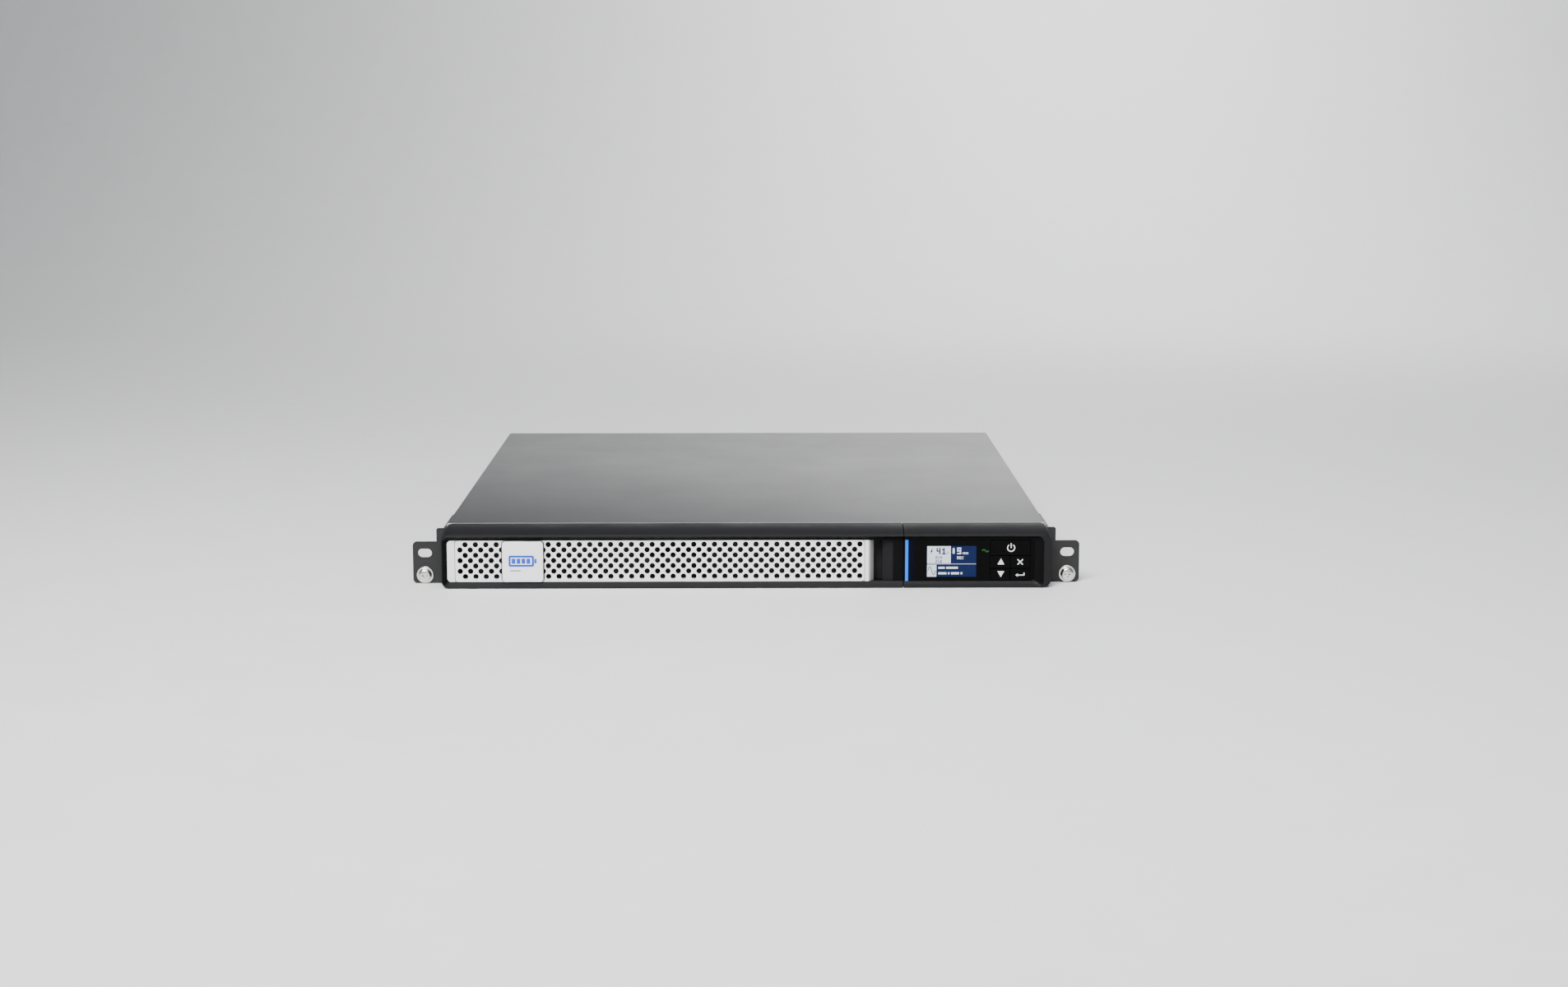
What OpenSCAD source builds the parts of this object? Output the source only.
// Rack-mount uninterruptible power supply, one rack unit high.
// Millimetres. X runs to the right, Y to the back and Z up; the origin is the
// centre of the bounding box, on the plane that the casing rests on.

/* [Casing] */
// Width of the steel casing
case_w = 434; // [430:1:438]
// Height of the casing
case_h = 43.2; // [43:0.1:44]
// Depth from the bezel's front to the outside of the rear panel
body_d = 509; // [505:1:540]
// Thickness of the lid's sheet steel
lid_t = 1; // [0.8:0.1:1.1]
// Thickness of the tray's and the rear panel's sheet steel
tray_t = 1.2; // [1:0.1:1.3]

/* [Bezel] */
// Depth of the moulded bezel in front of the casing
bezel_d = 26.3; // [25:0.1:30]
// Width of the bezel
bezel_w = 437; // [434:0.1:440]
// Height of the bezel's front edge, where its top has sloped down
bezel_front_h = 38.7; // [38:0.1:41]
// Radius of the bezel's outer corners
bezel_corner = 6; // [4:0.5:8]
// How far the grille and the display lie behind the bezel's front
face_in = 3.5; // [3:0.1:4]
// X of the seam between the two bezel sections
seam_x = 112.7; // [112:0.1:114]

/* [Grille] */
// Radius of a vent hole
vent_r = 1.95; // [1.5:0.05:1.95]
// Columns of vent holes
vent_columns = 78; // [20:2:78]
// Distance between neighbouring columns of vent holes
vent_pitch_x = 3.72; // [3.6:0.01:3.72]
// Distance between neighbouring rows of vent holes
vent_pitch_z = 3.87; // [3.7:0.01:3.87]
// Side of the square badge
badge_w = 29.4; // [20:0.1:29.4]

/* [Rack ears] */
// Width over both ears
ears_w = 482.6; // [480:0.1:483]
// Distance between the left and the right mounting holes
hole_span = 465.1; // [464:0.1:466]
// Thickness of an ear's steel
ear_t = 2; // [1.5:0.1:2.5]
// Distance from the bezel's front to the rack's mounting plane
rack_in = 24; // [22:1:24]

/* [Keys] */
// Travel of a key
key_travel = 0.5; // [0.3:0.1:0.5]
// Gap around a key
key_gap = 0.25; // [0.2:0.05:0.3]

/* [Battery] */
// Length, height and thickness of one 6 V battery block
block_size = [151, 94, 34]; // [1:1:151]

/* [Fan] */
// Side of the square fan
fan_w = 40; // [38:1:40]
// Depth of the fan
fan_d = 20; // [15:1:25]
// Number of fan blades
blades = 7; // [5:1:9]

/* [Hidden] */
$fn = 48;
tiny = 0.02;                               // thickness of the slices that a hull joins
port_out = 5.5;                            // how far the serial port stands out of the rear panel
overall_d = body_d + port_out;
front_y = -overall_d / 2;
panel_y = front_y + body_d;                // outside of the rear panel
face_y = front_y + face_in;                // plane of the grille and the display
bezel_back = front_y + bezel_d;
case_front = bezel_back + 0.2;             // outside of the casing's front wall
rack_y = front_y + rack_in;                // back face of the ears
inner_back = panel_y - tray_t;             // inside of the rear panel
lid_under = case_h - lid_t;
tray_half = case_w / 2 - lid_t - 0.1;      // half the tray's width, inside the lid's sides
floor_z = tray_t;
mid_z = 21.6;                              // height of the rear connectors' centre line
lid_screw_at = [[front_y + 150, 8], [front_y + 310, 8], [front_y + 470, 8]];
lid_screw_r = 1.5;
lid_head_r = 2.75;
cable_slot = [150, 178];                   // opening in the front wall for the display's cable

// Bezel: opening, cavity and finger recess
open_z = [4.4, 34.6];                      // lower and upper edge of the front opening
open_x = [-214.5, 206.8];                  // left and right edge of the front opening
seam_gap = 0.4;
slope_run = 17.5;                          // depth over which the top slopes down
slope_drop = case_h - bezel_front_h;
slope_r = (slope_run ^ 2 + slope_drop ^ 2) / (2 * slope_drop);
bezel_steps = [0.5, 3, 6, 9, 12, 15, 17.5];
grille_x1 = 91.6;                          // right edge of the grille's opening
bevel_rim = 0.9;                           // width of the bezel's front rim
bevel_x1 = 213.4;                          // where the right inner slope starts
cavity_in = 8.5;                           // where the bezel's hollow begins
cavity_z = [2, 38.6];
side_wall = 2.2;
notch_in = rack_in - ear_t - 0.2;            // the bezel's sides step in here, beside the ears
deep_in = 17;                              // where the hollow behind the finger recess begins
cavity_top = 40.6;
grip_x = [97.6, 105.3];                    // finger recess: where its floor starts to rise, and its end
grip_in = [14.5, 8.5, 5];                  // depths of the recess: slot, start and end of the rising floor
tongue_w = 14;
tongue_z = [39, 40.7];
left_tongues = [-180, -50, 78];
right_tongues = [135, 195];

// Grille
frame_back = front_y + 8.3;
sheet_x = [-208.7, 84.7];
sheet_t = 1;
sheet_gap = 0.35;                          // joint around the sheet's ends
sheet_seat = 1.3;                          // width of the seat at the sheet's ends
air_z = [6.2, 33.6];                       // lower and upper edge of the air's way through
vent_x0 = -205.1;                          // first column of vent holes
vent_z0 = 8.4;                             // lowest row of vent holes
badge_x = -160.2;                          // badge's centre
badge_out = 2;

// Display
fascia_t = 2;
carrier_x0 = 118;                          // left edge of the fascia's carrier and of the board
header_x = [153, 175];                     // connectors of the flat cable
lcd_x = [129.5, 165.1];
lcd_z = [7.4, 30.1];
lcd_rim = 1.1;                             // how far the backlight reaches past the window
lamp_x = [168.9, 174.1];
lamp_z = [25.1, 28];
keys_x = [174.9, 203.8];
keys_z = [4.8, 34.2];
key_split_x = 189.4;
key_rows = [13.6, 23];                     // edges between the rows of keys
key_left = [keys_x[0], key_split_x];
key_right = [key_split_x, keys_x[1]];
row_low = [keys_z[0], key_rows[0]];
row_mid = [key_rows[0], key_rows[1]];
row_top = [key_rows[1], keys_z[1]];
key_cells = [
    [keys_x, row_top], [key_left, row_mid], [key_left, row_low], [key_right, row_mid], [key_right, row_low]
];
key_back = front_y + 7.5;
stem_back = front_y + 9.9;
board_front = front_y + 14.5;
board_t = 1.6;

// Ears
ear_hole_z = 6.35;                         // rack hole heights above the unit's base
ear_slot_z = 22.225;
ear_hole_r = 3.3;
ear_slot_l = 10;
ear_slot_r = 3.2;
ear_base = 0.2;
ear_top = 30.6;                            // top of the ear's wide part
ear_strip_w = 7;                           // strip next to the bezel
ear_strip_top = 40.4;
ear_gap = 0.05;
ear_len = 62;
ear_screw_y = [rack_y + 12, rack_y + 46];
ear_screw_z = [10, 33];
ear_screw_r = 2;
ear_screw_head_r = 4;
rack_screw_r = 3;
rack_neck_r = 2.6;                         // plain neck where the screw passes the ear
rack_head_r = 6.1;
rack_screw_l = 14;

// Battery bay and pack
bay_x = [-206.6, 101.9];                   // clear width of the bay
bay_top = 37.8;                            // height of the opening in the front wall
bay_back = front_y + 240;                  // front face of the bay's rear wall
pack_x = [bay_x[0] + 0.7, bay_x[1] - 0.6];
pack_floor = floor_z + 1.1;
pack_sheet = 0.8;
pack_back = bay_back - 8;
plate_y = front_y + 24.9;                  // front face of the battery's front plate
plate_t = 1.2;
plate_z = [2.6, 38.3];
plate_screw_r = 1.5;
plate_head_r = 3;
plate_screw_z = 20;
plate_x = [-214.2, 109.8];
plate_screw_x = [-211.2, 105.8];
block_gap = 8;                             // room for terminals behind a block
block_x = [pack_x[0] + pack_sheet + 0.1, pack_x[1] - pack_sheet - 0.1 - block_size[0]];
block_y = [front_y + 29, front_y + 29 + block_size[1] + block_gap];
block_z = pack_floor + pack_sheet;
terminal_in = [14, 137];                   // terminals' distance from a block's left end
plug_x = [61.5, 82.5];
plug_z = [12, 24.6];

// Electronics
pcb_z = 8;
pcb_t = 1.6;
pcb_top = pcb_z + pcb_t;
right_board = [104.5, front_y + 48, 209];  // left edge, front edge, right edge
rear_board_x = -208;
rear_board_y = front_y + 372;
pcb_back = panel_y - 24;
pcb_holes = [
    [109.5, front_y + 54], [204, front_y + 54], [109.5, front_y + 250], [204, front_y + 250],
    [-203, front_y + 378], [-203, pcb_back - 6], [0, pcb_back - 6], [204, pcb_back - 6]
];
post_r = 3.5;
core_pos = [-60, front_y + 305];           // centre of the transformer
core_size = [114, 95, 26];
core_z = 8.6;
leg_w = 38;                                // centre leg of the core
window = [19, 57];
core_hole = [50, 40.5];                    // bolt offsets from the core's centre
winding_wall = 6;
heatsink = [116, front_y + 120, 60, 110];  // left edge, front edge, width, length
fin_count = 9;
relay_x = -196;
relay_y = rear_board_y + 34;
relay_pitch = 34;
relay_size = [29, 13, 24];
cap_pos = [124, front_y + 262];            // first capacitor's centre
cap_pitch = [26, 28];
cap_size = [11, 29];                       // radius and height
cable_route = [                            // Y and Z of the display's flat cable
    [board_front + board_t + 4, 17.5], [case_front - 2, 17.5], [case_front + 6, 17.3],
    [case_front + 12, 16.6], [case_front + 17, 15.6], [case_front + 22, 15.1], [right_board[1] + 8, 15]
];

// Rear panel
inlet_x = -188;
outlet_x = [-146, -111, -76, -41];
fan_x = 20;
fan_z = floor_z + 0.5 + fan_w / 2;
usb_x = 62;
serial_x = 94;
terminal_x = 127;
slot_x = [143, 207];
slot_z = [7, 36.2];
ground_pos = [-167, 11];
guard_rings = [5, 9.3, 13.6, 17.9];        // outer radii of the fan opening's slots
guard_slot = 3.1;
guard_spoke = 2.4;
socket_half = [12.2, 8.4];                 // half width and height of a mains socket's recess
core_half = [10.2, 6.4];                   // half width and height of an outlet's centre block
socket_cut = 4.5;                          // corner cut of the mains sockets
contact_at = [[-7, -2], [0, 2], [7, -2]];
contact_size = [2, 4];
inlet_half = [13.6, 10.1];                 // half width and height of each body behind the panel
outlet_half = [13.1, 9.6];
usb_half = [6, 5.5];
serial_half = [9.4, 5];
terminal_half = [8, 5];
port_gap = [0.1, 0.1];
socket_flange = 1.6;
cover_screw_r = 1.45;
ground_r = 2;
fan_screw_r = 1.65;
fan_holes = [-16, 16];                     // screws' distance from the fan's centre lines
motor_r = 10;
shaft_r = 1.5;

// ---------------------------------------------------------------- helpers

// A box from its lowest to its highest corner
module block(x, y, z) {
    translate([x[0], y[0], z[0]]) cube([x[1] - x[0], y[1] - y[0], z[1] - z[0]]);
}

// The same stretch, shorter by d at both ends (longer where d is negative)
function shrink(stretch, d) = [stretch[0] + d, stretch[1] - d];

// A rectangle from its lowest to its highest corner
module rect_2d(x, z) {
    translate([x[0], z[0]]) square([x[1] - x[0], z[1] - z[0]]);
}

// A drawing in X and Z, pushed along Y
module along_y(y0, y1) {
    translate([0, y1, 0]) rotate([90, 0, 0]) linear_extrude(y1 - y0) children();
}

// A drawing in Y and Z, pushed along X
module along_x(x0, x1) {
    translate([x0, 0, 0]) rotate([90, 0, 90]) linear_extrude(x1 - x0) children();
}

module rod_y(r, x, z, y0, y1) {
    translate([x, y1, z]) rotate([90, 0, 0]) cylinder(r = r, h = y1 - y0);
}

module rod_x(r, y, z, x0, x1) {
    translate([x0, y, z]) rotate([0, 90, 0]) cylinder(r = r, h = x1 - x0);
}

// A rectangle with round corners
module round_rect(x, z, r) {
    rect_2d(shrink(x, r), z);
    rect_2d(x, shrink(z, r));
    for (cx = shrink(x, r), cz = shrink(z, r)) {
        translate([cx, cz]) circle(r);
    }
}

// A rectangle around a centre
module centred(x, z, half) {
    translate([x - half[0], z - half[1]]) square(2 * half);
}

// A pan head along +Y or -Y: a low cylinder with a cross recess
module cross_head(r, t, x, z, y, toward) {
    y0 = toward < 0 ? y - t : y;
    arm = r * 0.55;
    bar = r * 0.14;
    cut = toward < 0 ? [y0 - 1, y0 + t * 0.4] : [y0 + t * 0.6, y0 + t + 1];
    difference() {
        rod_y(r, x, z, y0, y0 + t);
        block([x - arm, x + arm], cut, [z - bar, z + bar]);
        block([x - bar, x + bar], cut, [z - arm, z + arm]);
    }
}

// ---------------------------------------------------------------- casing

module chassis_tray() {
    back = inner_back - 0.1;
    color("dimgray") {
        difference() {
            union() {
                block([-tray_half, tray_half], [case_front, back], [0, floor_z]);
                for (s = [-1, 1]) {
                    x = s < 0 ? [-tray_half, tray_t - tray_half] : [tray_half - tray_t, tray_half];
                    block(x, [case_front, back], [0, lid_under - 0.1]);
                }
                block([-tray_half, tray_half], [case_front, case_front + tray_t], [0, lid_under - 0.1]);
            }
            block(bay_x, [case_front - 1, case_front + tray_t + 1], [floor_z, bay_top]);
            block(cable_slot, [case_front - 1, case_front + tray_t + 1], [12, 24]);
            for (x = concat(left_tongues, right_tongues)) {
                tongue(x, 0.3);
            }
            for (x = plate_screw_x) {
                rod_y(plate_screw_r + 0.3, x, plate_screw_z, case_front - 1, case_front + tray_t + 1);
            }
            side_holes(lid_screw_r + 0.05);
        }
        for (p = pcb_holes) {
            post(p, pcb_z, 1.3);
        }
        for (sx = [-1, 1], sy = [-1, 1]) {
            post([core_pos[0] + sx * core_hole[0], core_pos[1] + sy * core_hole[1]], core_z, 1.8);
        }
    }
}

// A formed post that stands on the tray's floor and takes a screw
module post(p, top, hole_r) {
    difference() {
        translate([p[0], p[1], floor_z]) cylinder(r = post_r, h = top - floor_z);
        translate([p[0], p[1], floor_z + 0.5]) cylinder(r = hole_r, h = top);
    }
}

// Holes through both sides for the lid's screws and the ears' screws
module side_holes(lid_hole_r) {
    for (p = lid_screw_at) {
        rod_x(lid_hole_r, p[0], p[1], -case_w, case_w);
    }
    for (y = ear_screw_y, z = ear_screw_z) {
        rod_x(ear_screw_r + 0.1, y, z, -case_w, case_w);
    }
}

module top_cover() {
    half = case_w / 2;
    color("dimgray") difference() {
        block([-half, half], [case_front, panel_y], [0.4, case_h]);
        block([lid_t - half, half - lid_t], [case_front - 1, panel_y + 1], [-1, lid_under]);
        side_holes(lid_head_r + 0.1);
    }
}

module casing_screws() {
    half = case_w / 2;
    color("gray") for (p = lid_screw_at, s = [-1, 1]) {
        difference() {
            union() {
                rod_x(lid_head_r, p[0], p[1], s < 0 ? -half : half - lid_t, s < 0 ? lid_t - half : half);
                rod_x(lid_screw_r, p[0], p[1], s < 0 ? lid_t - half : half - 5,
                    s < 0 ? 5 - half : half - lid_t);
            }
            for (a = [0, 90]) {
                translate([s * half, p[0], p[1]]) rotate([a, 0, 0]) cube([1, 2.8, 0.7], center = true);
            }
        }
    }
}

module rear_panel() {
    edge = tray_half - tray_t - 0.1;
    color("dimgray") {
        along_y(inner_back, panel_y) difference() {
            rect_2d([-edge, edge], [floor_z + 0.1, lid_under - 0.1]);
            centred(inlet_x, mid_z, inlet_half + port_gap);
            for (x = outlet_x) {
                centred(x, mid_z, outlet_half + port_gap);
            }
            translate([fan_x, fan_z]) fan_opening();
            for (sx = fan_holes, sz = fan_holes) {
                translate([fan_x + sx, fan_z + sz]) circle(1.9);
            }
            centred(usb_x, mid_z, usb_half + port_gap);
            centred(serial_x, mid_z, serial_half + port_gap);
            centred(terminal_x, mid_z, terminal_half + port_gap);
            rect_2d([slot_x[0] + 5, slot_x[1] - 5], [slot_z[0] + 2, slot_z[1] - 2]);
            for (x = shrink(slot_x, 2.5)) {
                translate([x, mid_z]) circle(cover_screw_r + 0.1);
            }
            translate(ground_pos) circle(ground_r + 0.05);
        }
        // Flanges along the floor, left and right of the fan
        for (x = [[-edge, fan_x - fan_w / 2 - 2], [fan_x + fan_w / 2 + 2, edge]]) {
            block(x, [inner_back - 9, inner_back], [floor_z + 0.1, floor_z + 1.2]);
        }
    }
}

// Concentric slots with four spokes left between them
module fan_opening() {
    for (r = guard_rings) {
        difference() {
            circle(r);
            circle(max(r - guard_slot, 0.1));
            for (a = [45, 135]) {
                rotate(a) square([3 * r, guard_spoke], center = true);
            }
        }
    }
}

// Sheet that guides the battery pack: two sides and a rear wall
module battery_bay_wall() {
    t = tray_t;
    z = [floor_z, bay_top - 1];
    y = [case_front + tray_t + 0.1, bay_back + t];
    color("silver") difference() {
        union() {
            block([bay_x[0] - t, bay_x[0]], y, z);
            block([bay_x[1], bay_x[1] + t], y, z);
            block([bay_x[0] - t, bay_x[1] + t], [bay_back, bay_back + t], z);
        }
        block(shrink(plug_x, -0.6), [bay_back - 1, bay_back + t + 1], shrink(plug_z, -0.6));
    }
}

// ---------------------------------------------------------------- bezel

// Height of the bezel's top at a depth behind its front
function bezel_top(d) = let (run = max(slope_run - d, 0)) case_h - slope_r + sqrt(slope_r ^ 2 - run ^ 2);

// The whole bezel as one solid bar: round corners, a top that slopes to the front, and a small front chamfer
module bezel_bar() {
    half = bezel_w / 2;
    lip = 0.5;
    hull() {
        along_y(front_y, front_y + tiny) {
            round_rect([lip - half, half - lip], [lip, bezel_front_h], bezel_corner - lip, $fn = 32);
        }
        for (d = bezel_steps) {
            along_y(front_y + d, front_y + d + tiny) {
                round_rect([-half, half], [0, bezel_top(d)], bezel_corner, $fn = 32);
            }
        }
        along_y(bezel_back - tiny, bezel_back) {
            round_rect([-half, half], [0, case_h], bezel_corner, $fn = 32);
        }
    }
}

// The sloped inner edges of the front opening
module bevel_cut() {
    half = bezel_w / 2;
    hull() {
        along_y(front_y - 1, front_y) {
            round_rect([bevel_rim - half, bevel_x1], [bevel_rim, bezel_front_h - 0.5], 5, $fn = 32);
        }
        along_y(face_y - tiny, face_y) round_rect(open_x, open_z, 3, $fn = 32);
    }
}

// A tongue that hooks the bezel into the casing's front wall
module tongue(x, gap) {
    half = tongue_w / 2 + gap;
    block([x - half, x + half], [bezel_back - 5, case_front + 7], shrink(tongue_z, -gap));
}

module bezel_left() {
    end = seam_x - seam_gap / 2;
    color("#2b2c2e") {
        difference() {
            bezel_bar();
            block([end, bezel_w], [front_y - 1, bezel_back + 1], [-1, case_h + 1]);
            bevel_cut();
            block([open_x[0], grille_x1], [front_y, front_y + cavity_in + 0.1], open_z);
            block([open_x[0] - 0.6, grille_x1 - 2], [front_y + cavity_in, bezel_back + 1], cavity_z);
            block([open_x[0] - 0.6, end - 2], [front_y + deep_in, bezel_back + 1], [2, cavity_top]);
            finger_recess();
            side_notches();
        }
        for (x = left_tongues) {
            tongue(x, 0);
        }
    }
}

// Steps in the bezel's sides that leave room for the ears
module side_notches() {
    half = case_w / 2 - 0.2;
    for (x = [[-bezel_w, -half], [half, bezel_w]]) {
        block(x, [front_y + notch_in, bezel_back + 1], [-1, case_h + 1]);
    }
}

// Recess right of the grille: a deep slot, then a sloping face and a raised end
module finger_recess() {
    translate([0, 0, open_z[0]]) linear_extrude(open_z[1] - open_z[0]) polygon([
        [grille_x1 - 0.05, front_y - 1], [grille_x1 - 0.05, front_y + grip_in[0]],
        [grip_x[0], front_y + grip_in[0]], [grip_x[0], front_y + grip_in[1]],
        [grip_x[1], front_y + grip_in[2]], [grip_x[1], front_y - 1]
    ]);
}

module bezel_right() {
    start = seam_x + seam_gap / 2;
    end = case_w / 2 - side_wall;
    carrier = [face_y + fascia_t + 0.1, face_y + fascia_t + 2.6];
    color("#2b2c2e") {
        difference() {
            bezel_bar();
            block([-bezel_w, start], [front_y - 1, bezel_back + 1], [-1, case_h + 1]);
            bevel_cut();
            block([start - 1, open_x[1]], [front_y, front_y + 9], open_z);
            block([start - 1, end], [front_y + 8.1, bezel_back + 1], cavity_z);
            block([start - 1, end], [front_y + deep_in, bezel_back + 1], [2, cavity_top]);
            side_notches();
        }
        difference() {
            block([carrier_x0, open_x[1] + 1], carrier, [open_z[0] - 0.5, open_z[1] + 0.5]);
            block(shrink(lcd_x, -lcd_rim - 0.3), shrink(carrier, -1), shrink(lcd_z, -lcd_rim - 0.3));
            block(shrink(lamp_x, -0.2), shrink(carrier, -1), shrink(lamp_z, -0.2));
            block(shrink(keys_x, -0.3), shrink(carrier, -1), keys_z);
        }
        for (x = right_tongues) {
            tongue(x, 0);
        }
    }
}

module grille_frame() {
    gap = 0.1;
    x = [open_x[0] + gap, grille_x1 - gap];
    z = shrink(open_z, gap);
    color("silver") difference() {
        union() {
            along_y(face_y + sheet_t + 0.05, frame_back) round_rect([x[0], x[1] - 7], z, 2.5);
            block([x[0] + 5, x[1] - 5], [face_y + sheet_t + 0.05, frame_back], z);
            along_y(face_y, face_y + 2) round_rect([x[0], sheet_x[0] + 4], z, 2.5);
            translate([0, 0, z[0]]) linear_extrude(z[1] - z[0]) polygon([
                [sheet_x[1] + sheet_gap, face_y], [sheet_x[1] + 3, face_y], [x[1], frame_back - 0.3],
                [x[1], frame_back], [sheet_x[1] + sheet_gap, frame_back]
            ]);
        }
        // Seat for the perforated sheet, and the air's way through
        along_y(face_y - 1, face_y + sheet_t + 0.05) {
            round_rect(shrink(sheet_x, -sheet_gap), [z[0] - 3, z[1] + 3], 4);
        }
        block(shrink(sheet_x, sheet_seat), [face_y, frame_back + 1], air_z);
    }
}

module grille_sheet() {
    color("silver") along_y(face_y, face_y + sheet_t) difference() {
        round_rect(sheet_x, shrink(open_z, 0.1), 2);
        for (i = [0 : vent_columns - 1]) {
            low = i % 2 == 0 ? 1 : 0;
            for (row = [low : 2 : 6]) {
                translate([vent_x0 + i * vent_pitch_x, vent_z0 + row * vent_pitch_z]) circle(vent_r);
            }
        }
    }
}

module badge() {
    x = [badge_x - badge_w / 2, badge_x + badge_w / 2];
    z = [open_z[0] + 0.25, open_z[0] + 0.25 + badge_w];
    edge = 0.5;
    color("gainsboro") hull() {
        along_y(face_y - badge_out + edge, face_y - 0.02) {
            round_rect(x, z, 2.2, $fn = 32);
        }
        along_y(face_y - badge_out, face_y - badge_out + tiny) {
            round_rect(shrink(x, edge), shrink(z, edge), 2.2 - edge, $fn = 32);
        }
    }
}

// ---------------------------------------------------------------- display

module light_bar() {
    color("dodgerblue") block([seam_x + 0.25, 116.1], [face_y - 0.2, front_y + 12], shrink(open_z, 0.1));
}

module display_fascia() {
    x = [116.3, open_x[1] - 0.1];
    color("#0c0c0e") along_y(face_y, face_y + fascia_t) difference() {
        rect_2d(x, shrink(open_z, 0.1));
        rect_2d(lcd_x, lcd_z);
        rect_2d(lamp_x, lamp_z);
        rect_2d(keys_x, keys_z);
    }
}

// Glass in the fascia's window, with its backlight housing behind
module lcd_module() {
    color("midnightblue") {
        block(shrink(lcd_x, 0.1), [face_y + 0.1, face_y + fascia_t + 0.2], shrink(lcd_z, 0.1));
        block(shrink(lcd_x, -lcd_rim), [face_y + fascia_t + 0.2, board_front], shrink(lcd_z, -lcd_rim));
    }
}

module status_lamp() {
    color("limegreen") block(shrink(lamp_x, 0.05), [face_y + 0.1, board_front], shrink(lamp_z, 0.05));
}

// A key cap with a stem that reaches its switch
module key_cap(x, z) {
    color("#0c0c0e") {
        along_y(face_y, key_back) {
            round_rect(shrink(x, key_gap), shrink(z, key_gap), 0.4);
        }
        rod_y(1.5, (x[0] + x[1]) / 2, (z[0] + z[1]) / 2, key_back, stem_back);
    }
}

module power_key() key_cap(keys_x, row_top);
module up_key() key_cap(key_left, row_mid);
module down_key() key_cap(key_left, row_low);
module escape_key() key_cap(key_right, row_mid);
module enter_key() key_cap(key_right, row_low);

module key_switches() {
    color("dimgray") for (c = key_cells) {
        x = (c[0][0] + c[0][1]) / 2;
        z = (c[1][0] + c[1][1]) / 2;
        block([x - 3, x + 3], [board_front - 3.5, board_front], [z - 3, z + 3]);
        rod_y(1.7, x, z, stem_back + key_travel + 0.15, board_front - 3.5);
    }
}

module display_board() {
    color("darkgreen") {
        block([carrier_x0, 211], [board_front, board_front + board_t], [5, 37]);
        // Header for the flat cable
        block(header_x, [board_front + board_t, board_front + board_t + 4], [15, 20]);
    }
}

// Flat cable from the display board, through the front wall, to the main board
module display_cable() {
    half_t = 0.45;
    upper = [for (p = cable_route) [p[0], p[1] + half_t]];
    lower = [for (i = [len(cable_route) - 1 : -1 : 0]) [cable_route[i][0], cable_route[i][1] - half_t]];
    color("lightgray") along_x(header_x[0] + 2, header_x[1] - 2) polygon(concat(upper, lower));
}

// ---------------------------------------------------------------- ears

// The right ear: a front flange with a slot and a hole, and a side flange screwed to the casing
module ear_shape() {
    half = case_w / 2;
    side = [half + ear_gap, half + ear_gap + ear_t];
    flange_y = rack_y - ear_t;
    hole_x = hole_span / 2;
    difference() {
        union() {
            along_y(flange_y, rack_y) difference() {
                union() {
                    round_rect([half + 4, ears_w / 2], [ear_base, ear_top], 3);
                    rect_2d([side[0], side[0] + ear_strip_w], [ear_base, ear_top]);
                    round_rect([side[0], side[0] + ear_strip_w], [10, ear_strip_top], 1.5);
                }
                translate([hole_x, ear_hole_z]) circle(ear_hole_r);
                translate([hole_x, ear_slot_z]) {
                    square([ear_slot_l - 2 * ear_slot_r, 2 * ear_slot_r], center = true);
                    for (s = [-1, 1]) {
                        translate([s * (ear_slot_l / 2 - ear_slot_r), 0]) circle(ear_slot_r);
                    }
                }
            }
            along_x(side[0], side[1]) round_rect([flange_y, flange_y + ear_len], [3, ear_strip_top], 3);
            block(side, [flange_y, flange_y + 5], [ear_base, ear_strip_top]);
        }
        for (y = ear_screw_y, z = ear_screw_z) {
            rod_x(ear_screw_r + 0.1, y, z, half - 1, half + 4);
            translate([side[0], y, z]) rotate([0, 90, 0]) {
                cylinder(r1 = ear_screw_r + 0.1, r2 = ear_screw_head_r + 0.1, h = ear_t);
            }
        }
    }
}

module ear_right() color("#3a3b3d") ear_shape();
module ear_left() color("#3a3b3d") mirror([1, 0, 0]) ear_shape();

module ear_screws() {
    half = case_w / 2 + ear_gap;
    color("gray") for (s = [0, 1]) {
        mirror([s, 0, 0]) for (y = ear_screw_y, z = ear_screw_z) {
            difference() {
                union() {
                    translate([half, y, z]) rotate([0, 90, 0]) {
                        cylinder(r1 = ear_screw_r, r2 = ear_screw_head_r, h = ear_t);
                    }
                    rod_x(ear_screw_r, y, z, half - 5, half);
                }
                for (a = [0, 90]) {
                    translate([half + ear_t, y, z]) rotate([a, 0, 0]) cube([2, 3.6, 0.9], center = true);
                }
            }
        }
    }
}

module rack_screws() {
    y = rack_y - ear_t;
    color("silver") for (s = [-1, 1]) {
        x = s * hole_span / 2;
        cross_head(4.9, 3, x, ear_hole_z, y - 1, -1);
        rod_y(rack_head_r, x, ear_hole_z, y - 1, y);
        rod_y(rack_neck_r, x, ear_hole_z, y, rack_y + 0.5);
        rod_y(rack_screw_r, x, ear_hole_z, rack_y + 0.5, y + rack_screw_l);
    }
}

// ---------------------------------------------------------------- battery pack

module battery_tray() {
    t = pack_sheet;
    y = [plate_y + plate_t, pack_back];
    z = [pack_floor, 30];
    color("silver") {
        block(pack_x, y, [pack_floor, pack_floor + t]);
        block([pack_x[0], pack_x[0] + t], y, z);
        block([pack_x[1] - t, pack_x[1]], y, z);
        block(pack_x, [pack_back - t, pack_back], z);
    }
}

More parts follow.
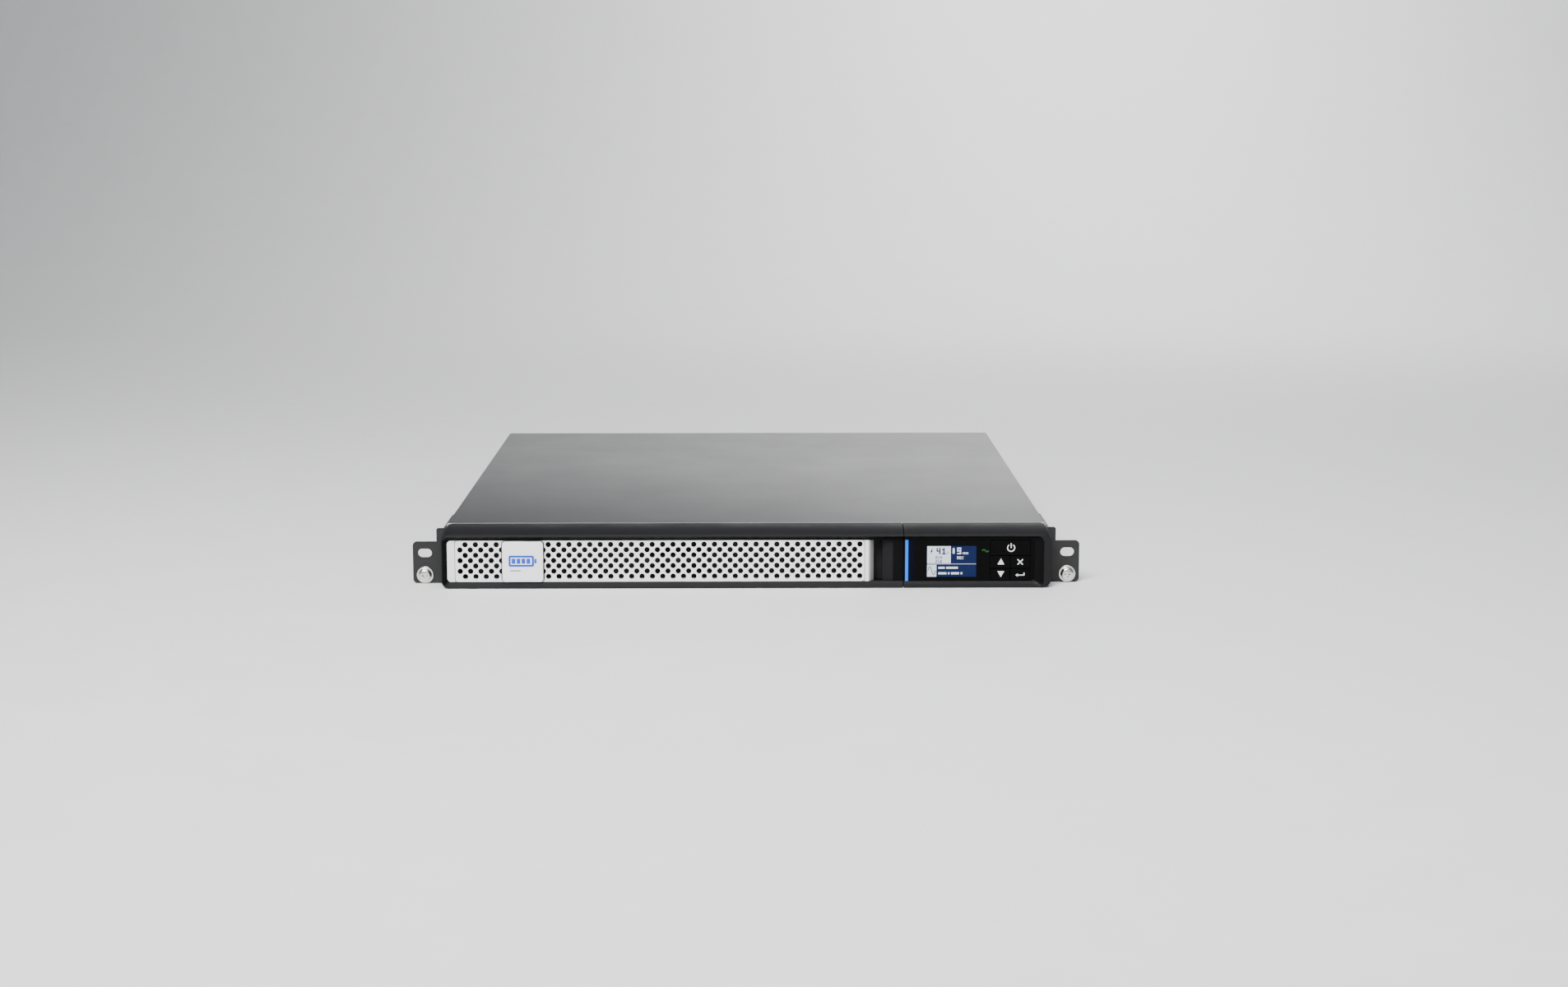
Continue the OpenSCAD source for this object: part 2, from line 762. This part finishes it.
// One sealed battery block on its side, its lid and two tab terminals towards the back
module battery_block(x, y) {
    lid = 6;
    back = y + block_size[1];
    z = block_z;
    color("#3c4046") {
        block([x, x + block_size[0]], [y, back - lid], [z, z + block_size[2]]);
        block([x + 1, x + block_size[0] - 1], [back - lid, back], [z + 1, z + block_size[2] - 1]);
        for (d = terminal_in) {
            block([x + d - 2.4, x + d + 2.4], [back, back + 5], shrink([z, z + block_size[2]], 16.6));
        }
    }
}

module battery_1() battery_block(block_x[0], block_y[0]);
module battery_2() battery_block(block_x[1], block_y[0]);
module battery_3() battery_block(block_x[0], block_y[1]);
module battery_4() battery_block(block_x[1], block_y[1]);

module battery_front_plate() {
    y = [plate_y, plate_y + plate_t];
    color("#3a3b3d") difference() {
        along_y(y[0], y[1]) round_rect(plate_x, plate_z, 2);
        for (x = plate_screw_x) {
            rod_y(plate_screw_r + 0.05, x, plate_screw_z, y[0] - 1, y[1] + 1);
        }
    }
}

module battery_screws() {
    color("silver") for (x = plate_screw_x) {
        difference() {
            rod_y(plate_head_r, x, plate_screw_z, plate_y - 4.4, plate_y);
            block([x - 4, x + 4], [plate_y - 5, plate_y - 3.4], [plate_screw_z - 0.5, plate_screw_z + 0.5]);
        }
        rod_y(plate_screw_r, x, plate_screw_z, plate_y, plate_y + 6);
    }
}

// Flexible tab that pulls the pack out, with a thicker lip
module battery_pull_tab() {
    mid = (pack_x[0] + pack_x[1]) / 2;
    color("black") along_x(mid - 22, mid + 22) polygon([
        [plate_y, 12], [plate_y - 1.5, 12], [plate_y - 1.5, 19], [plate_y - 11, 19], [plate_y - 11, 18],
        [plate_y - 14, 18], [plate_y - 14, 22], [plate_y - 11, 22], [plate_y - 11, 21], [plate_y, 21]
    ]);
}

// Insulated links from terminal to terminal, and the two leads' rods to the plug
module battery_links() {
    r = 1.4;
    z = block_z + 17 + 2;
    y1 = block_y[0] + block_size[1] + 3;
    y2 = block_y[1] + block_size[1] + 2.6;
    x1 = block_x[0] + terminal_in[1];
    x2 = block_x[1] + terminal_in[0];
    color("firebrick") {
        rod_x(r, y1, z, x1, x2);
        rod_x(r, y2, z, x1, x2);
        rod_y(r - 0.2, (block_x[0] + block_size[0] + block_x[1]) / 2, z, y1 + r, y2 - r);
    }
}

module battery_plug() {
    z = [plug_z[0] + 0.3, plug_z[1] - 0.3];
    mid = (plug_x[0] + plug_x[1]) / 2;
    color("slategray") {
        block([plug_x[0], plug_x[1]], [pack_back, bay_back - 0.6], z);
        for (s = [-5, 5]) {
            block([mid + s - 0.6, mid + s + 0.6], [bay_back - 0.6, bay_back + 9], [z[0] + 2, z[1] - 2]);
        }
    }
}

module battery_socket() {
    mid = (plug_x[0] + plug_x[1]) / 2;
    wall = bay_back + tray_t;
    color("slategray") difference() {
        union() {
            block(plug_x, [bay_back, wall + 16], plug_z);
            block([plug_x[0] - 3, plug_x[1] + 3], [wall, wall + 2], [plug_z[0] - 3, plug_z[1] + 3]);
        }
        for (s = [-5, 5]) {
            block([mid + s - 1, mid + s + 1], [bay_back - 1, bay_back + 10], shrink(plug_z, 1.8));
        }
    }
}

// ---------------------------------------------------------------- electronics

module main_board() {
    color("darkgreen") difference() {
        translate([0, 0, pcb_z]) linear_extrude(pcb_t) polygon([
            [right_board[0], right_board[1]], [right_board[2], right_board[1]], [right_board[2], pcb_back],
            [rear_board_x, pcb_back], [rear_board_x, rear_board_y], [right_board[0], rear_board_y]
        ]);
        for (p = pcb_holes) {
            translate([p[0], p[1], pcb_z - 1]) cylinder(r = 1.7, h = pcb_t + 2);
        }
    }
    // Header for the display's flat cable
    color("dimgray") block(header_x, [right_board[1] + 8, right_board[1] + 14], [pcb_top, 18]);
}

module board_screws() {
    color("silver") for (p = pcb_holes) {
        translate([p[0], p[1], pcb_top]) cylinder(r = 2.8, h = 2);
        translate([p[0], p[1], floor_z + 1]) cylinder(r = 1.25, h = pcb_top - floor_z - 1);
    }
}

// Stacked laminations: an outer frame with a centre leg
module transformer_core() {
    color("gray") translate([core_pos[0], core_pos[1], core_z]) difference() {
        translate([-core_size[0] / 2, -core_size[1] / 2, 0]) cube(core_size);
        for (s = [-1, 1]) {
            translate([s * (leg_w + window[0]) / 2, 0, core_size[2] / 2]) {
                cube([window[0], window[1], core_size[2] + 2], center = true);
            }
        }
        for (sx = [-1, 1], sy = [-1, 1]) {
            translate([sx * core_hole[0], sy * core_hole[1], -1]) cylinder(r = 2.1, h = core_size[2] + 2);
        }
    }
}

// Coil around the core's centre leg
module transformer_winding() {
    gap = 0.5;
    inner = [leg_w / 2 + gap, core_size[2] / 2 + gap];
    outer = [leg_w / 2 + window[0] - 2, core_size[2] / 2 + winding_wall];
    half_l = window[1] / 2 - gap;
    color("goldenrod") translate([core_pos[0], core_pos[1], core_z + core_size[2] / 2]) {
        along_y(-half_l, half_l) difference() {
            round_rect([-outer[0], outer[0]], [-outer[1], outer[1]], 3);
            centred(0, 0, inner);
        }
    }
}

module transformer_bolts() {
    color("silver") for (sx = [-1, 1], sy = [-1, 1]) {
        translate([core_pos[0] + sx * core_hole[0], core_pos[1] + sy * core_hole[1], 0]) {
            translate([0, 0, core_z + core_size[2]]) cylinder(r = 3.5, h = 2.8);
            translate([0, 0, floor_z + 1]) cylinder(r = 1.75, h = core_z + core_size[2] - floor_z - 1);
        }
    }
}

module heatsink() {
    pitch = heatsink[2] / fin_count;
    y = [heatsink[1], heatsink[1] + heatsink[3]];
    color("lightgray") {
        block([heatsink[0], heatsink[0] + heatsink[2]], y, [pcb_top + 0.1, pcb_top + 5]);
        for (i = [0 : fin_count - 1]) {
            x = heatsink[0] + (i + 0.5) * pitch;
            block([x - 0.8, x + 0.8], y, [pcb_top + 5, 38]);
        }
    }
}

module power_transistors() {
    x = heatsink[0] + heatsink[2];
    color("#1c1c1e") for (i = [0 : 3]) {
        y = heatsink[1] + 12 + i * 28;
        block([x + 0.1, x + 4.8], [y - 8, y + 8], [pcb_top + 4, pcb_top + 25]);
        for (d = [-5.4, 0, 5.4]) {
            block([x + 2, x + 2.8], [y + d - 0.6, y + d + 0.6], [pcb_top, pcb_top + 4]);
        }
    }
}

module capacitors() {
    color("navy") for (i = [0 : 2], j = [0 : 1]) {
        translate([cap_pos[0] + cap_pitch[0] * i, cap_pos[1] + cap_pitch[1] * j, pcb_top]) {
            cylinder(r = cap_size[0], h = cap_size[1]);
        }
    }
}

module relays() {
    color("white") for (i = [0 : 4]) {
        translate([relay_x + relay_pitch * i, relay_y, pcb_top]) cube(relay_size);
    }
}

// ---------------------------------------------------------------- fan

module fan_frame() {
    half = fan_w / 2;
    y = [inner_back - fan_d, inner_back];
    color("#1c1c1e") {
        along_y(y[0], y[1]) difference() {
            round_rect([fan_x - half, fan_x + half], [fan_z - half, fan_z + half], 3);
            translate([fan_x, fan_z]) circle(19);
            for (sx = fan_holes, sz = fan_holes) {
                translate([fan_x + sx, fan_z + sz]) circle(fan_screw_r + 0.1);
            }
        }
        // Motor plate on four arms, with the bush that the shaft turns in
        difference() {
            union() {
                rod_y(motor_r, fan_x, fan_z, y[0], y[0] + 2.5);
                for (a = [0, 90]) {
                    translate([fan_x, y[0] + 1.25, fan_z]) rotate([0, a, 0]) {
                        cube([39.4, 2.5, 3], center = true);
                    }
                }
                rod_y(4, fan_x, fan_z, y[0] + 2, y[0] + 11);
            }
            rod_y(shaft_r + 0.04, fan_x, fan_z, y[0] - 1, y[0] + 12);
        }
    }
}

module fan_rotor() {
    y = [inner_back - fan_d + 3.2, inner_back - 1.5];
    color("#1c1c1e") {
        difference() {
            rod_y(motor_r + 1, fan_x, fan_z, y[0], y[1]);
            rod_y(motor_r - 0.6, fan_x, fan_z, y[0] - 1, y[1] - 2);
        }
        rod_y(shaft_r, fan_x, fan_z, y[0] - 2.6, y[1] - 1);
        for (i = [0 : blades - 1]) {
            translate([fan_x, (y[0] + y[1]) / 2, fan_z]) rotate([0, i * 360 / blades, 0]) {
                translate([14.2, 0, 0]) rotate([52, 0, 0]) cube([7.6, 1.1, 11], center = true);
            }
        }
    }
}

// ---------------------------------------------------------------- rear panel's parts

// Outline of a mains socket: a rectangle with its two upper corners cut off
module socket_outline(half, cut) {
    polygon([
        [-half[0], -half[1]], [half[0], -half[1]], [half[0], half[1] - cut],
        [half[0] - cut, half[1]], [cut - half[0], half[1]], [-half[0], half[1] - cut]
    ]);
}

module mains_inlet() {
    color("#1c1c1e") difference() {
        union() {
            along_y(panel_y, panel_y + socket_flange) {
                round_rect([inlet_x - 15.5, inlet_x + 15.5], [mid_z - 12, mid_z + 12], 2);
            }
            along_y(panel_y - 20, panel_y) centred(inlet_x, mid_z, inlet_half);
        }
        along_y(panel_y - 16, panel_y + 2) {
            translate([inlet_x, mid_z]) socket_outline(socket_half, socket_cut);
        }
        for (c = contact_at) {
            along_y(panel_y - 21, panel_y) {
                centred(inlet_x + c[0], mid_z + c[1], contact_size / 2 + [0.05, 0.05]);
            }
        }
    }
}

module inlet_pins() {
    color("gold") for (c = contact_at) {
        along_y(panel_y - 26, panel_y - 2) centred(inlet_x + c[0], mid_z + c[1], contact_size / 2);
    }
}

module outlet(x) {
    color("#1c1c1e") difference() {
        union() {
            along_y(panel_y, panel_y + socket_flange) {
                round_rect([x - 15, x + 15], [mid_z - 12, mid_z + 12], 2);
            }
            along_y(panel_y - 22, panel_y) centred(x, mid_z, outlet_half);
        }
        along_y(panel_y - 13, panel_y + 2) translate([x, mid_z]) difference() {
            socket_outline(socket_half, socket_cut);
            socket_outline(core_half, socket_cut - 0.8);
        }
        for (c = contact_at) {
            along_y(panel_y - 18, panel_y + 2) {
                centred(x + c[0], mid_z + c[1], contact_size / 2 + [0.3, 0.3]);
            }
        }
    }
}

module outlet_1() outlet(outlet_x[0]);
module outlet_2() outlet(outlet_x[1]);
module outlet_3() outlet(outlet_x[2]);
module outlet_4() outlet(outlet_x[3]);

// Square data port with a tongue inside
module usb_port() {
    color("silver") difference() {
        along_y(panel_y - 16, panel_y + 1) centred(usb_x, mid_z, usb_half);
        along_y(panel_y - 9, panel_y + 2) difference() {
            centred(usb_x, mid_z, [4.3, 4]);
            centred(usb_x, mid_z, [2.8, 1.6]);
        }
    }
}

// Nine-pole port: a D-shaped shell with jack nuts, on a body behind the panel
module serial_port() {
    color("silver") {
        along_y(panel_y, panel_y + 0.8) {
            round_rect([serial_x - 15.4, serial_x + 15.4], [mid_z - 6.2, mid_z + 6.2], 2);
        }
        along_y(panel_y + 0.8, panel_y + port_out) difference() {
            translate([serial_x, mid_z]) polygon([[-8.2, 3.9], [8.2, 3.9], [6.8, -3.9], [-6.8, -3.9]]);
            for (i = [-2 : 2]) {
                translate([serial_x + i * 2.76, mid_z + 1.42]) circle(0.6);
            }
            for (i = [-1.5 : 1.5]) {
                translate([serial_x + i * 2.76, mid_z - 1.42]) circle(0.6);
            }
        }
        along_y(panel_y - 12, panel_y) centred(serial_x, mid_z, serial_half);
        for (s = [-12.5, 12.5]) {
            difference() {
                rod_y(2.6, serial_x + s, mid_z, panel_y + 0.8, panel_y + 5);
                rod_y(1.3, serial_x + s, mid_z, panel_y + 2, panel_y + 6);
            }
        }
    }
}

// Two-pole screw terminal for remote control
module control_terminal() {
    color("seagreen") difference() {
        along_y(panel_y - 12, panel_y + 3) centred(terminal_x, mid_z, terminal_half);
        for (s = [-3.8, 3.8]) {
            along_y(panel_y - 5, panel_y + 4) centred(terminal_x + s, mid_z - 1.4, [1.9, 1.9]);
            rod_y(1.5, terminal_x + s, mid_z + 3, panel_y - 1, panel_y + 4);
        }
    }
}

module slot_cover() {
    color("#3a3b3d") difference() {
        along_y(panel_y, panel_y + 1.2) round_rect(slot_x, slot_z, 1.5);
        for (x = shrink(slot_x, 2.5)) {
            rod_y(1.7, x, mid_z, panel_y - 1, panel_y + 2);
        }
    }
}

// Screws of the slot's cover and of the fan
module rear_screws() {
    color("gray") {
        for (x = shrink(slot_x, 2.5)) {
            cross_head(2.3, 1.8, x, mid_z, panel_y + 1.2, 1);
            rod_y(cover_screw_r, x, mid_z, panel_y - 5, panel_y + 1.2);
        }
        for (sx = fan_holes, sz = fan_holes) {
            cross_head(3, 1.8, fan_x + sx, fan_z + sz, panel_y, 1);
            rod_y(fan_screw_r, fan_x + sx, fan_z + sz, panel_y - 9, panel_y);
        }
    }
}

module ground_screw() {
    color("goldenrod") {
        cross_head(4, 2.6, ground_pos[0], ground_pos[1], panel_y, 1);
        rod_y(ground_r, ground_pos[0], ground_pos[1], panel_y - 7, panel_y);
    }
}

// ---------------------------------------------------------------- nodes

chassis_tray();
top_cover();
rear_panel();
battery_bay_wall();
casing_screws();
bezel_left();
bezel_right();
grille_frame();
grille_sheet();
badge();
light_bar();
display_fascia();
lcd_module();
status_lamp();
power_key();
up_key();
down_key();
escape_key();
enter_key();
key_switches();
display_board();
display_cable();
ear_left();
ear_right();
ear_screws();
rack_screws();
battery_tray();
battery_1();
battery_2();
battery_3();
battery_4();
battery_front_plate();
battery_screws();
battery_pull_tab();
battery_links();
battery_plug();
battery_socket();
main_board();
board_screws();
transformer_core();
transformer_winding();
transformer_bolts();
heatsink();
power_transistors();
capacitors();
relays();
fan_frame();
fan_rotor();
mains_inlet();
inlet_pins();
outlet_1();
outlet_2();
outlet_3();
outlet_4();
usb_port();
serial_port();
control_terminal();
slot_cover();
rear_screws();
ground_screw();
